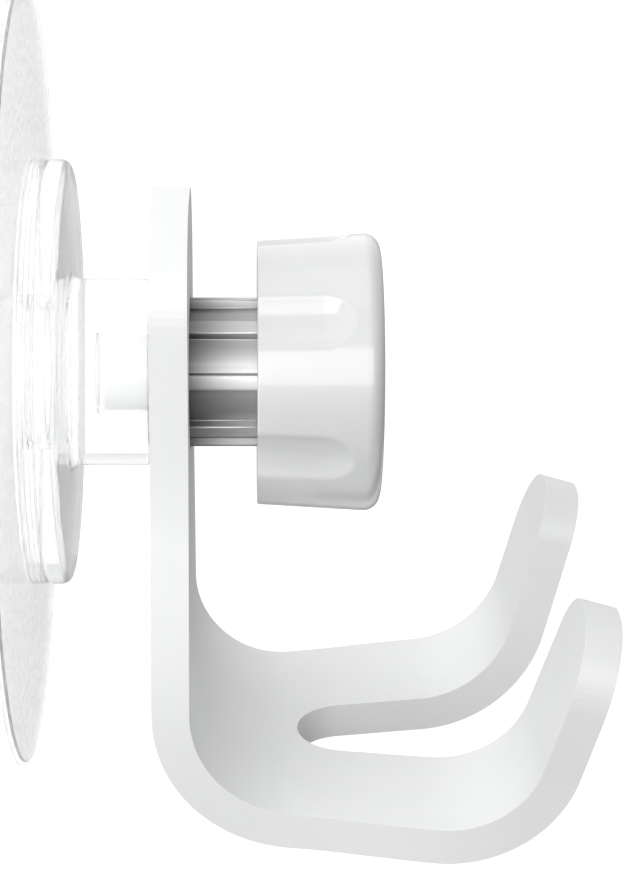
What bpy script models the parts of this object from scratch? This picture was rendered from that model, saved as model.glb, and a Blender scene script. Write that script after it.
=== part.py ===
"""Stick-on hook: clear base, ribbed post, forked J bracket and a screw-down knob.

Metres. The origin is the middle of the pad's sticky face, on the axis of the post.
+X runs out of the wall along the post, +Z is up, and Y is the width.
"""

import math

import bmesh
import bpy
import numpy as np

# clearances
FIXED_GAP = 0.00005  # between pieces that are bonded or pressed together
SEAT_GAP = 0.0003  # between pieces that only rest on each other
RUN_GAP = 0.00025  # round the post, for pieces that turn or slide on it
CUT_PAST = 0.001  # how far a cutter or a joined stub runs past the face it meets

# adhesive pad
PAD_RADIUS = 0.040
GEL_THICKNESS = 0.00035
FILM_SETBACK = 0.0004  # the film stops this far inside the gel's edge
FILM_RADIUS = PAD_RADIUS - FILM_SETBACK
FILM_THICKNESS = 0.0003

# clear base: two discs, a boss and a blind socket
DISC_RADIUS = 0.02165
BACK_DISC_THICKNESS = 0.0019
FRONT_DISC_THICKNESS = 0.0022
DISC_EDGE_ROUND = 0.0009
DISC_EDGE_BREAK = 0.0002
CORE_RADIUS = 0.0072
CORE_DEPTH = 0.0014  # how far the core runs into the front disc
BOSS_LENGTH = 0.0080
BOSS_FILLET = 0.0008
BOSS_EDGE_ROUND = 0.0004

# ribbed post
POST_RIBS = 8
POST_RADIUS = 0.00765
RIB_HEIGHT = 0.001
POST_ROOT_RADIUS = POST_RADIUS - RIB_HEIGHT
RIB_ANGLE = math.radians(13)
POST_TURN = math.radians(-10)  # how the ribs stand round the axis
SPIGOT_RADIUS = 0.0039
SPIGOT_LENGTH = 0.0048
SOCKET_END_ROOM = 0.00065  # left beyond the spigot's end
BORE_WALL = 0.0009  # metal left at the spigot's end
BOSS_SHOULDER = 0.00165  # ring of the boss that the bracket's back rests on
BOSS_RADIUS = POST_RADIUS + RUN_GAP + BOSS_SHOULDER

# threaded insert in the post
INSERT_RADIUS = 0.0045
INSERT_LENGTH = 0.008
INSERT_FROM_FRONT = 0.003
INSERT_GROOVE_DEPTH = 0.0004
INSERT_GROOVE_WIDTH = 0.001

# knob and its screw
KNOB_BACK_RADIUS = 0.01355
KNOB_FRONT_RADIUS = 0.0143
KNOB_FRONT_ROUND = 0.0016
KNOB_BACK_BREAK = 0.0002
KNOB_TURN = math.radians(-10)
KNOB_FLUTES = 6
FLUTE_RADIUS = 0.0048
FLUTE_DEPTH = 0.0011
FLUTE_LENGTH = 0.0095  # from the knob's back to the flute's round end
KNOB_BACKED_OFF = 0.0068  # open space between bracket and knob at rest
KNOB_LIP = 0.0008
POST_HIDDEN = 0.0012  # post inside the knob at rest
FLOOR_THICKNESS = 0.0012  # web under the screw's head
SCREW_RADIUS = 0.003
SCREW_TIP_CHAMFER = 0.00075
THREAD_ENGAGED = 0.0055  # screw inside the insert at rest
HEAD_ACROSS_FLATS = 0.010
HEAD_THICKNESS = 0.0018
CAP_RADIUS = 0.0096
CAP_THICKNESS = 0.0011
CAP_CROWN = 0.0003
TRAVEL = KNOB_BACKED_OFF - SEAT_GAP
RECESS_DEPTH = POST_HIDDEN + TRAVEL + SEAT_GAP  # takes the post when the knob is screwed home
HEAD_SEAT = RECESS_DEPTH + FLOOR_THICKNESS
CAP_SEAT = HEAD_SEAT + FIXED_GAP + HEAD_THICKNESS + SEAT_GAP
KNOB_LENGTH = CAP_SEAT + FIXED_GAP + CAP_THICKNESS

# thrust washer, keyed to the post and held in the knob
WASHER_FACE_WALL = 0.0015  # outside the bore that runs on the post
WASHER_FLANGE_WIDTH = 0.0008
WASHER_FACE_RADIUS = POST_RADIUS + RUN_GAP + WASHER_FACE_WALL
WASHER_FLANGE_RADIUS = WASHER_FACE_RADIUS + WASHER_FLANGE_WIDTH
WASHER_FLANGE_THICKNESS = 0.0012

# bent bracket; its lengths run along the front face from the post's axis
SHEET_THICKNESS = 0.0038
HOLE_RADIUS = POST_RADIUS + RUN_GAP
HOLE_MARGIN = 0.002  # plain sheet below the hole before the outline starts to widen
TOP_LENGTH = 0.0184
TOP_CORNER = 0.0102
PLATE_LENGTH = 0.0302
FIRST_BEND_RADIUS = 0.0104
FIRST_BEND_ANGLE = math.radians(90)
SHELF_LENGTH = 0.0145
SECOND_BEND_RADIUS = 0.0105
SECOND_BEND_ANGLE = math.radians(74)
PRONG_LENGTH = 0.0150
TOP_HALF_WIDTH = 0.0131
BEND_HALF_WIDTH = 0.0181
SHELF_HALF_WIDTH = 0.0195
RISE_HALF_WIDTH = 0.0228
TIP_HALF_WIDTH = 0.0260
SLOT_ROUND = 0.0055
SLOT_SETBACK = 0.0008  # from the start of the shelf to the slot's end
SLOT_FLARE = math.radians(9.6)  # each side of the slot opens by this much
TIP_OUTER_ROUND = 0.0083
TIP_SLOT_ROUND = 0.0047
SHEET_EDGE_ROUND = 0.00045

ROUND_STEPS = 48
FLUTE_STEPS = 28

# where each piece starts along the post's axis
FILM_X = GEL_THICKNESS + FIXED_GAP
BACK_DISC_X = FILM_X + FILM_THICKNESS + FIXED_GAP
FRONT_DISC_X = BACK_DISC_X + BACK_DISC_THICKNESS + FIXED_GAP
BOSS_X = FRONT_DISC_X + FRONT_DISC_THICKNESS
POST_X = BOSS_X + BOSS_LENGTH + FIXED_GAP
PLATE_X = BOSS_X + BOSS_LENGTH + SEAT_GAP
PLATE_FRONT_X = PLATE_X + SHEET_THICKNESS
KNOB_X = PLATE_FRONT_X + KNOB_BACKED_OFF
POST_FRONT_X = KNOB_X + POST_HIDDEN


def make_collection(name):
    collection = bpy.data.collections.new(name)
    bpy.context.scene.collection.children.link(collection)
    return collection


def make_material(name, colour, roughness, metallic=0.0, transmission=0.0):
    material = bpy.data.materials.new(name)
    material.use_nodes = True
    shader = material.node_tree.nodes["Principled BSDF"]
    shader.inputs["Base Color"].default_value = (*colour, 1.0)
    shader.inputs["Roughness"].default_value = roughness
    shader.inputs["Metallic"].default_value = metallic
    shader.inputs["Transmission Weight"].default_value = transmission
    material.diffuse_color = (*colour, 1.0)
    return material


def make_empty(name, parent=None, location=(0, 0, 0), rotation=(0, 0, 0)):
    empty = bpy.data.objects.new(name, None)
    empty.empty_display_size = 0.01
    empty.location = location
    empty.rotation_euler = rotation
    empty.parent = parent
    parts.objects.link(empty)
    return empty


def add_part(name, mesh, material, parent, along=0.0, turn=0.0):
    part = bpy.data.objects.new(name, mesh)
    part.location = (0, 0, along)
    part.rotation_euler = (0, 0, turn)
    part.parent = parent
    mesh.materials.append(material)
    parts.objects.link(part)
    return part


def add_cutter(name, mesh, parent, along=0.0, turn=0.0):
    cutter = bpy.data.objects.new(name, mesh)
    cutter.location = (0, 0, along)
    cutter.rotation_euler = (0, 0, turn)
    cutter.parent = parent
    cutter.hide_render = True
    cutter.display_type = "WIRE"
    cutters.objects.link(cutter)
    return cutter


def join_shape(part, name, other, operation):
    change = part.modifiers.new(name, "BOOLEAN")
    change.operation = operation
    change.solver = "EXACT"
    change.object = other
    return change


def smooth_corners(mesh):
    mesh.shade_smooth()
    mesh.set_sharp_from_angle(angle=math.radians(35))


def arc(centre, radius, start, end, steps=4):
    """Points of an arc in a turned profile, angles in degrees from +radius."""
    angles = [math.radians(start + (end - start) * i / steps) for i in range(steps + 1)]
    return [(centre[0] + radius * math.cos(a), centre[1] + radius * math.sin(a)) for a in angles]


def turned_mesh(name, profile, ring=False, steps=ROUND_STEPS):
    """A mesh turned from (radius, height) points that run down its outer side."""
    mesh = bpy.data.meshes.new(name + "_profile")
    edges = [(i, i + 1) for i in range(len(profile) - 1)]
    if ring:
        edges.append((len(profile) - 1, 0))
    mesh.from_pydata([(r, 0, z) for r, z in profile], edges, [])
    holder = bpy.data.objects.new(name + "_turning", mesh)
    cutters.objects.link(holder)
    screw = holder.modifiers.new("turn", "SCREW")
    screw.steps = steps
    screw.render_steps = steps
    screw.use_merge_vertices = True
    screw.merge_threshold = 0.00001
    graph = bpy.context.evaluated_depsgraph_get()
    solid = bpy.data.meshes.new_from_object(holder.evaluated_get(graph))
    solid.name = name
    bpy.data.objects.remove(holder)
    bpy.data.meshes.remove(mesh)
    smooth_corners(solid)
    return solid


def outline_mesh(name, outline, thickness):
    """A flat outline given thickness upwards from its own plane."""
    curve = bpy.data.curves.new(name + "_outline", "CURVE")
    curve.dimensions = "2D"
    curve.fill_mode = "BOTH"
    curve.extrude = thickness / 2
    spline = curve.splines.new("POLY")
    spline.points.add(len(outline) - 1)
    for point, (x, y) in zip(spline.points, outline):
        point.co = (x, y, 0, 1)
    spline.use_cyclic_u = True
    holder = bpy.data.objects.new(name + "_extrusion", curve)
    cutters.objects.link(holder)
    graph = bpy.context.evaluated_depsgraph_get()
    solid = bpy.data.meshes.new_from_object(holder.evaluated_get(graph))
    bpy.data.objects.remove(holder)
    bpy.data.curves.remove(curve)
    shape = bmesh.new()
    shape.from_mesh(solid)
    bmesh.ops.remove_doubles(shape, verts=shape.verts, dist=0.000005)
    bmesh.ops.translate(shape, verts=shape.verts, vec=(0, 0, thickness / 2))
    bmesh.ops.recalc_face_normals(shape, faces=shape.faces)
    shape.to_mesh(solid)
    shape.free()
    solid.name = name
    smooth_corners(solid)
    return solid


def prism_mesh(name, sides, across_flats, height):
    radius = across_flats / 2 / math.cos(math.pi / sides)
    shape = bmesh.new()
    bmesh.ops.create_cone(
        shape, cap_ends=True, segments=sides, radius1=radius, radius2=radius, depth=height
    )
    bmesh.ops.translate(shape, verts=shape.verts, vec=(0, 0, height / 2))
    mesh = bpy.data.meshes.new(name)
    shape.to_mesh(mesh)
    shape.free()
    return mesh


def spline_outline(gap):
    """The post's ribbed outline, grown by a gap all round."""
    pitch = 2 * math.pi / POST_RIBS
    half_rib = RIB_ANGLE / 2 + gap / POST_RADIUS
    points = []
    for rib in range(POST_RIBS):
        middle = rib * pitch
        for angle in np.linspace(-half_rib, half_rib, 3):
            radius = POST_RADIUS + gap
            points.append((radius * math.cos(middle + angle), radius * math.sin(middle + angle)))
        for angle in np.linspace(half_rib, pitch - half_rib, 5):
            radius = POST_ROOT_RADIUS + gap
            points.append((radius * math.cos(middle + angle), radius * math.sin(middle + angle)))
    return points


def make_pad():
    gel = [(0, GEL_THICKNESS), (PAD_RADIUS, GEL_THICKNESS), (PAD_RADIUS, 0), (0, 0)]
    add_part("adhesive_gel", turned_mesh("adhesive_gel", gel), gel_clear, axis)
    film = [(0, FILM_THICKNESS), (FILM_RADIUS, FILM_THICKNESS), (FILM_RADIUS, 0), (0, 0)]
    add_part("carrier_film", turned_mesh("carrier_film", film), film_clear, axis, FILM_X)


def make_base():
    edge = DISC_RADIUS - DISC_EDGE_BREAK
    top = BACK_DISC_THICKNESS
    back = [(CORE_RADIUS, top), (edge, top), (DISC_RADIUS, top - DISC_EDGE_BREAK)]
    back += [(DISC_RADIUS, DISC_EDGE_BREAK), (edge, 0), (CORE_RADIUS, 0)]
    mesh = turned_mesh("base_back_disc", back, ring=True)
    add_part("base_back_disc", mesh, plastic_clear, axis, BACK_DISC_X)

    boss_top = FRONT_DISC_THICKNESS + BOSS_LENGTH
    socket_radius = SPIGOT_RADIUS + FIXED_GAP
    socket_floor = boss_top - SPIGOT_LENGTH - SOCKET_END_ROOM
    rim = (DISC_RADIUS - DISC_EDGE_ROUND, FRONT_DISC_THICKNESS - DISC_EDGE_ROUND)
    boss_rim = (BOSS_RADIUS - BOSS_EDGE_ROUND, boss_top - BOSS_EDGE_ROUND)
    foot = (BOSS_RADIUS + BOSS_FILLET, FRONT_DISC_THICKNESS + BOSS_FILLET)
    front = [(0, socket_floor), (socket_radius, socket_floor), (socket_radius, boss_top)]
    front += arc(boss_rim, BOSS_EDGE_ROUND, 90, 0)
    front += arc(foot, BOSS_FILLET, 180, 270)
    front += arc(rim, DISC_EDGE_ROUND, 90, 0)
    front += [(DISC_RADIUS, DISC_EDGE_BREAK), (edge, 0), (CORE_RADIUS, 0)]
    front += [(CORE_RADIUS, CORE_DEPTH), (0, CORE_DEPTH)]
    mesh = turned_mesh("base_front_disc", front)
    add_part("base_front_disc", mesh, plastic_clear, axis, FRONT_DISC_X)


def make_post():
    length = POST_FRONT_X - POST_X
    mesh = outline_mesh("splined_post", spline_outline(0), length)
    post = add_part("splined_post", mesh, post_metal, axis, POST_X, POST_TURN)
    spigot = [(0, CUT_PAST), (SPIGOT_RADIUS, CUT_PAST)]
    spigot += [(SPIGOT_RADIUS, -SPIGOT_LENGTH), (0, -SPIGOT_LENGTH)]
    stub = add_cutter("spigot_shape", turned_mesh("spigot_shape", spigot), axis, POST_X)
    join_shape(post, "spigot", stub, "UNION")

    insert_room = INSERT_RADIUS + FIXED_GAP
    shelf = length - INSERT_FROM_FRONT - INSERT_LENGTH - FIXED_GAP
    clear = SCREW_RADIUS + FIXED_GAP
    bore = [(0, length + CUT_PAST), (insert_room, length + CUT_PAST), (insert_room, shelf)]
    bore += [(clear, shelf), (clear, BORE_WALL - SPIGOT_LENGTH), (0, BORE_WALL - SPIGOT_LENGTH)]
    drill = add_cutter("post_bore", turned_mesh("post_bore", bore), axis, POST_X)
    join_shape(post, "bore", drill, "DIFFERENCE")

    half = INSERT_GROOVE_WIDTH / 2
    middle = INSERT_LENGTH / 2
    groove = INSERT_RADIUS - INSERT_GROOVE_DEPTH
    sleeve = [(clear, INSERT_LENGTH), (INSERT_RADIUS, INSERT_LENGTH)]
    sleeve += [(INSERT_RADIUS, middle + half), (groove, middle + half)]
    sleeve += [(groove, middle - half), (INSERT_RADIUS, middle - half)]
    sleeve += [(INSERT_RADIUS, 0), (clear, 0)]
    mesh = turned_mesh("threaded_insert", sleeve, ring=True)
    along = POST_FRONT_X - INSERT_FROM_FRONT - INSERT_LENGTH
    add_part("threaded_insert", mesh, brass, axis, along)


def flow_through(knots, along):
    """A smooth value through (along, value) knots, by cubic pieces with shared slopes."""
    places = np.array([knot[0] for knot in knots])
    values = np.array([knot[1] for knot in knots])
    slopes = np.gradient(values, places)
    i = int(np.clip(np.searchsorted(places, along) - 1, 0, len(places) - 2))
    span = places[i + 1] - places[i]
    t = np.clip((along - places[i]) / span, 0, 1)
    start = (1 + 2 * t) * (1 - t) ** 2 * values[i] + t * (1 - t) ** 2 * span * slopes[i]
    end = t * t * (3 - 2 * t) * values[i + 1] - t * t * (1 - t) * span * slopes[i + 1]
    return float(start + end)


BEND_START = PLATE_LENGTH
SHELF_START = BEND_START + FIRST_BEND_RADIUS * FIRST_BEND_ANGLE
RISE_START = SHELF_START + SHELF_LENGTH
PRONG_START = RISE_START + SECOND_BEND_RADIUS * SECOND_BEND_ANGLE
SHEET_END = PRONG_START + PRONG_LENGTH
SLOT_START = SHELF_START + SLOT_SETBACK


def sheet_point(along):
    """Where the front face of the sheet is, (x, z), at a length along it."""
    if along <= BEND_START:
        return PLATE_FRONT_X, -along
    centre_x = PLATE_FRONT_X + FIRST_BEND_RADIUS
    turn = min(along - BEND_START, SHELF_START - BEND_START) / FIRST_BEND_RADIUS
    x = centre_x - FIRST_BEND_RADIUS * math.cos(turn)
    z = -BEND_START - FIRST_BEND_RADIUS * math.sin(turn)
    if along <= SHELF_START:
        return x, z
    run = min(along, RISE_START) - SHELF_START
    x += run * math.sin(FIRST_BEND_ANGLE)
    z -= run * math.cos(FIRST_BEND_ANGLE)
    if along <= RISE_START:
        return x, z
    turn = min(along - RISE_START, PRONG_START - RISE_START) / SECOND_BEND_RADIUS
    heading = FIRST_BEND_ANGLE + turn
    x += SECOND_BEND_RADIUS * (math.cos(FIRST_BEND_ANGLE) - math.cos(heading))
    z += SECOND_BEND_RADIUS * (math.sin(FIRST_BEND_ANGLE) - math.sin(heading))
    run = max(along - PRONG_START, 0)
    return x + run * math.sin(heading), z - run * math.cos(heading)


def round_off(radius, left):
    """How far a rounded corner has cut in, this far before the edge it meets."""
    if left >= radius:
        return 0.0
    return radius - math.sqrt(max(radius**2 - (radius - left) ** 2, 0))


def outer_edge(along):
    knots = (
        (POST_RADIUS, TOP_HALF_WIDTH),
        (BEND_START, BEND_HALF_WIDTH),
        (SHELF_START, SHELF_HALF_WIDTH),
        (RISE_START, RISE_HALF_WIDTH),
        (SHEET_END, TIP_HALF_WIDTH),
    )
    width = flow_through(knots, along)
    width -= round_off(TOP_CORNER, along + TOP_LENGTH)
    return width - round_off(TIP_OUTER_ROUND, SHEET_END - along)


def inner_edge(along):
    if along <= SLOT_START:
        return 0.0
    centre = SLOT_START + SLOT_ROUND
    tangent = centre - SLOT_ROUND * math.sin(SLOT_FLARE)
    if along < tangent:
        return math.sqrt(max(SLOT_ROUND**2 - (centre - along) ** 2, 0))
    width = SLOT_ROUND * math.cos(SLOT_FLARE) + (along - tangent) * math.tan(SLOT_FLARE)
    return width + round_off(TIP_SLOT_ROUND, SHEET_END - along)


def sheet_rows():
    """Lengths along the sheet at which its outline is drawn."""
    quarter = np.linspace(0, math.pi / 2, 9)
    top = -TOP_LENGTH + TOP_CORNER * (1 - np.cos(quarter))
    plate = np.linspace(HOLE_RADIUS + HOLE_MARGIN, BEND_START, 5)
    first = np.linspace(BEND_START, SHELF_START, 13)[1:]
    slot = SLOT_START + SLOT_ROUND * (1 - np.cos(quarter))
    rise = np.linspace(RISE_START, PRONG_START, 11)
    tip = SHEET_END - TIP_OUTER_ROUND * (1 - np.sin(quarter))
    middle = np.linspace(PRONG_START, SHEET_END - TIP_OUTER_ROUND, 4)[1:-1]
    return np.concatenate([top, plate, first, slot, rise, middle, tip])


def make_bracket():
    shape = bmesh.new()
    rows = []
    for along in sheet_rows():
        x, z = sheet_point(along)
        inner = shape.verts.new((x - PLATE_FRONT_X, inner_edge(along), z))
        outer = shape.verts.new((x - PLATE_FRONT_X, outer_edge(along), z))
        rows.append((inner, outer))
    for upper, lower in zip(rows, rows[1:]):
        shape.faces.new((upper[0], lower[0], lower[1], upper[1]))
    mesh = bpy.data.meshes.new("hook_bracket")
    shape.to_mesh(mesh)
    shape.free()
    mesh.materials.append(white_satin)
    bracket = bpy.data.objects.new("hook_bracket", mesh)
    bracket.parent = make_empty("bracket_pivot", location=(PLATE_FRONT_X, 0, 0))
    parts.objects.link(bracket)

    mirror = bracket.modifiers.new("other_half", "MIRROR")
    mirror.use_axis = (False, True, False)
    mirror.merge_threshold = 0.00001
    solid = bracket.modifiers.new("sheet", "SOLIDIFY")
    solid.thickness = SHEET_THICKNESS
    solid.offset = -1
    solid.use_even_offset = True
    reach = SHEET_THICKNESS * 2
    hole = [(0, reach), (HOLE_RADIUS, reach), (HOLE_RADIUS, -reach), (0, -reach)]
    drill = add_cutter("post_hole", turned_mesh("post_hole", hole), axis, PLATE_FRONT_X)
    join_shape(bracket, "hole", drill, "DIFFERENCE")
    bevel = bracket.modifiers.new("edges", "BEVEL")
    bevel.width = SHEET_EDGE_ROUND
    bevel.segments = 2
    bevel.limit_method = "ANGLE"
    bevel.angle_limit = math.radians(50)


def make_knob(slider):
    flange_back = KNOB_LIP + SEAT_GAP
    flange_front = flange_back + WASHER_FLANGE_THICKNESS
    face = [(0, flange_front), (WASHER_FLANGE_RADIUS, flange_front)]
    face += [(WASHER_FLANGE_RADIUS, flange_back), (WASHER_FACE_RADIUS, flange_back)]
    face += [(WASHER_FACE_RADIUS, 0), (0, 0)]
    washer = add_part("thrust_washer", turned_mesh("thrust_washer", face), washer_nylon, slider)
    broach_mesh = outline_mesh("post_broach", spline_outline(RUN_GAP), flange_front + 2 * CUT_PAST)
    broach = add_cutter("post_broach", broach_mesh, axis, KNOB_X - CUT_PAST, POST_TURN)
    join_shape(washer, "keyed_bore", broach, "DIFFERENCE")

    spin = make_empty("knob_spin", slider, rotation=(0, 0, KNOB_TURN))
    lip_radius = WASHER_FACE_RADIUS + SEAT_GAP
    groove_radius = WASHER_FLANGE_RADIUS + SEAT_GAP
    groove_end = flange_front + SEAT_GAP
    recess_radius = POST_RADIUS + RUN_GAP
    shank_room = SCREW_RADIUS + FIXED_GAP
    cap_room = CAP_RADIUS + FIXED_GAP
    crown = (KNOB_FRONT_RADIUS - KNOB_FRONT_ROUND, KNOB_LENGTH - KNOB_FRONT_ROUND)
    body = [(cap_room, KNOB_LENGTH)]
    body += arc(crown, KNOB_FRONT_ROUND, 90, 0, 6)
    body += [(KNOB_BACK_RADIUS, KNOB_BACK_BREAK), (KNOB_BACK_RADIUS - KNOB_BACK_BREAK, 0)]
    body += [(lip_radius, 0), (lip_radius, KNOB_LIP), (groove_radius, KNOB_LIP)]
    body += [(groove_radius, groove_end), (recess_radius, groove_end), (recess_radius, RECESS_DEPTH)]
    body += [(shank_room, RECESS_DEPTH), (shank_room, CAP_SEAT), (cap_room, CAP_SEAT)]
    knob = add_part("knob_body", turned_mesh("knob_body", body, ring=True), white_gloss, spin)

    pocket_mesh = prism_mesh("head_pocket", 6, HEAD_ACROSS_FLATS + 2 * FIXED_GAP, KNOB_LENGTH)
    pocket = add_cutter("head_pocket", pocket_mesh, spin, HEAD_SEAT)
    join_shape(knob, "pocket", pocket, "DIFFERENCE")
    ball = (0, FLUTE_LENGTH - math.sqrt(FLUTE_RADIUS**2 - (FLUTE_RADIUS - FLUTE_DEPTH) ** 2))
    flute = arc(ball, FLUTE_RADIUS, 90, 0, 6)
    flute += [(FLUTE_RADIUS, -CUT_PAST), (0, -CUT_PAST)]
    flute_mesh = turned_mesh("flute", flute, steps=FLUTE_STEPS)
    distance = KNOB_BACK_RADIUS + FLUTE_RADIUS - FLUTE_DEPTH
    taper = math.atan((KNOB_FRONT_RADIUS - KNOB_BACK_RADIUS) / KNOB_LENGTH)
    for i in range(KNOB_FLUTES):
        angle = 2 * math.pi * i / KNOB_FLUTES
        cutter = add_cutter(f"flute_{i + 1}", flute_mesh, spin)
        cutter.location = (distance * math.cos(angle), distance * math.sin(angle), 0)
        cutter.rotation_euler = (0, taper, angle)
        join_shape(knob, f"flute_{i + 1}", cutter, "DIFFERENCE")

    head = prism_mesh("knob_screw", 6, HEAD_ACROSS_FLATS, HEAD_THICKNESS)
    head_back = HEAD_SEAT + FIXED_GAP
    screw = add_part("knob_screw", head, steel, spin, head_back)
    insert_front = POST_FRONT_X - INSERT_FROM_FRONT
    tip = insert_front - THREAD_ENGAGED - KNOB_X - head_back
    shank = [(0, CUT_PAST), (SCREW_RADIUS, CUT_PAST), (SCREW_RADIUS, tip + SCREW_TIP_CHAMFER)]
    shank += [(SCREW_RADIUS - SCREW_TIP_CHAMFER, tip), (0, tip)]
    rod = add_cutter("screw_shank", turned_mesh("screw_shank", shank), spin, head_back)
    join_shape(screw, "shank", rod, "UNION")

    cap = [(CAP_RADIUS * out, CAP_THICKNESS - CAP_CROWN * out**2) for out in (0, 0.6, 1)]
    cap += [(CAP_RADIUS, 0), (0, 0)]
    along = KNOB_LENGTH - CAP_THICKNESS
    add_part("knob_cap", turned_mesh("knob_cap", cap), white_gloss, spin, along)


for leftover in list(bpy.data.objects):
    bpy.data.objects.remove(leftover)

parts = make_collection("stick_on_hook")
cutters = make_collection("cutters")

gel_clear = make_material("gel_clear", (0.93, 0.94, 0.94), 0.35, transmission=0.8)
film_clear = make_material("film_clear", (0.96, 0.97, 0.97), 0.12, transmission=0.95)
plastic_clear = make_material("plastic_clear", (0.98, 0.985, 0.985), 0.04, transmission=1.0)
post_metal = make_material("post_metal", (0.62, 0.62, 0.62), 0.34, metallic=1.0)
brass = make_material("brass", (0.78, 0.58, 0.27), 0.3, metallic=1.0)
steel = make_material("steel", (0.6, 0.6, 0.61), 0.3, metallic=1.0)
white_satin = make_material("white_satin", (0.9, 0.9, 0.9), 0.38)
white_gloss = make_material("white_gloss", (0.92, 0.92, 0.92), 0.16)
washer_nylon = make_material("washer_nylon", (0.82, 0.82, 0.8), 0.45)

axis = make_empty("post_axis", rotation=(0, math.pi / 2, 0))
make_pad()
make_base()
make_post()
make_bracket()
make_knob(make_empty("knob_slide", axis, location=(0, 0, KNOB_X)))
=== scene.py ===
import math

import bmesh
import bpy
from mathutils import Matrix, Vector


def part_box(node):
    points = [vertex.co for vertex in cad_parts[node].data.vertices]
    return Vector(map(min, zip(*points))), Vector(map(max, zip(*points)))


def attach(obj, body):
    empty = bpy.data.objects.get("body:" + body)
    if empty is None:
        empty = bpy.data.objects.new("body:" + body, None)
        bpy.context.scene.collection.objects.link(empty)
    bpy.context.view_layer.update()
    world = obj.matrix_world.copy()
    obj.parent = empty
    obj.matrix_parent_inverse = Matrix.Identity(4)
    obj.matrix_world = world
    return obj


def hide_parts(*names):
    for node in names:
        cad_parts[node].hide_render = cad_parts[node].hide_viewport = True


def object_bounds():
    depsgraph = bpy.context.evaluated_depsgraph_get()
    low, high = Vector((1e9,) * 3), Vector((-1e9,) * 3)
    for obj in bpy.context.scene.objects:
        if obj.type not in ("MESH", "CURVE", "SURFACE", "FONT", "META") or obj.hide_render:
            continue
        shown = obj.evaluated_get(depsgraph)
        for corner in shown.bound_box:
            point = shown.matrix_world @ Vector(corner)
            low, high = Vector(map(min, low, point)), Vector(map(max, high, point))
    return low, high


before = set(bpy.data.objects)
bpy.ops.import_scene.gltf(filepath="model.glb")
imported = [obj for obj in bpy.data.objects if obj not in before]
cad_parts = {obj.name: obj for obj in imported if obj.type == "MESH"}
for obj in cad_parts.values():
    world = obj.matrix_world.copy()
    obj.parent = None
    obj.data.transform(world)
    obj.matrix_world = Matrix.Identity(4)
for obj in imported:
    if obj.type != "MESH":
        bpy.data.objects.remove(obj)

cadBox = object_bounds()
fullTurn = 2 * math.pi
print("frame loaded,", len(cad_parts), "nodes")


# Round pieces are lofted along the post's axis from rings of points, all with the same count.
# Angles run round the axis from straight down, the way the knob turns.

def evenAngles(count):
    return [fullTurn * i / count for i in range(count)]


def spread(start, end, count):
    return [start + (end - start) * i / count for i in range(count + 1)]


def ringAt(x, radii, angles):
    return [(x, r * math.sin(a), -r * math.cos(a)) for r, a in zip(radii, angles)]


def softCorners(outline, rounding, steps=4):
    # outline holds (x, radius) corners, and rounding says which of them become arcs of what radius
    made = []
    for i, corner in enumerate(outline):
        size = rounding.get(i, 0)
        here = Vector(corner)
        before = (Vector(outline[i - 1]) - here).normalized()
        after = (Vector(outline[(i + 1) % len(outline)]) - here).normalized()
        if size == 0:
            made.append(corner)
            continue
        half = before.angle(after) / 2
        middle = here + (before + after).normalized() * (size / math.sin(half))
        first = here + before * (size / math.tan(half)) - middle
        last = here + after * (size / math.tan(half)) - middle
        for k in range(steps + 1):
            spoke = first.lerp(last, k / steps)
            spoke.length = size
            made.append(tuple(middle + spoke))
    return made


def loftRings(name, rings, joinEnds=False, sharpFrom=32):
    form = bmesh.new()
    loops = [[form.verts.new(p) for p in ring] for ring in rings]
    pairs = list(zip(loops, loops[1:]))
    if joinEnds:
        pairs.append((loops[-1], loops[0]))
    for here, there in pairs:
        count = max(len(here), len(there))
        for i in range(count):
            j = (i + 1) % count
            if len(here) == 1:
                form.faces.new((here[0], there[j], there[i]))
            elif len(there) == 1:
                form.faces.new((here[i], here[j], there[0]))
            else:
                form.faces.new((here[i], here[j], there[j], there[i]))
    bmesh.ops.recalc_face_normals(form, faces=form.faces)
    mesh = bpy.data.meshes.new(name)
    form.to_mesh(mesh)
    form.free()
    mesh.shade_smooth()
    mesh.set_sharp_from_angle(angle=math.radians(sharpFrom))
    return mesh


def heldFlat(outline, longRun=0.0008, inset=0.0002):
    # a point close to each end of a long straight run keeps its face looking flat
    made = [outline[0]]
    for (x, radius), (nextX, nextRadius) in zip(outline, outline[1:]):
        span = math.hypot(nextX - x, nextRadius - radius)
        close = inset / span
        if span > longRun and radius > 0:
            made.append((x + (nextX - x) * close, radius + (nextRadius - radius) * close))
        if span > longRun and nextRadius > 0:
            made.append((nextX - (nextX - x) * close, nextRadius - (nextRadius - radius) * close))
        made.append((nextX, nextRadius))
    return made


def turnedMesh(name, outline, angles, joinEnds=False):
    rings = []
    for x, radius in heldFlat(outline):
        if radius == 0:
            rings.append([(x, 0, 0)])
        else:
            rings.append(ringAt(x, [radius] * len(angles), angles))
    return loftRings(name, rings, joinEnds)


def addPiece(name, mesh, finish, body, node):
    piece = bpy.data.objects.new(name, mesh)
    piece.visible_shadow = not finish.name.endswith("Clear")  # clear plastic lets the light past
    mesh.materials.clear()
    mesh.materials.append(finish)
    bpy.context.scene.collection.objects.link(piece)
    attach(piece, body)
    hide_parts(node)


# finishes are built from these few steps
def startFinish(name, sockets):
    finish = bpy.data.materials.new(name)
    finish.use_nodes = True
    nodes = finish.node_tree.nodes
    shader = nodes["Principled BSDF"]
    for socket, value in sockets.items():
        shader.inputs[socket].default_value = value
    place = nodes.new("ShaderNodeTexCoord")
    return finish, shader, place.outputs["Object"]


def addNode(finish, kind, links=(), **settings):
    node = finish.node_tree.nodes.new(kind)
    for key, value in settings.items():
        if key in node.inputs:
            node.inputs[key].default_value = value
        else:
            setattr(node, key, value)
    for socket, source in links:
        finish.node_tree.links.new(source, node.inputs[socket])
    return node


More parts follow.
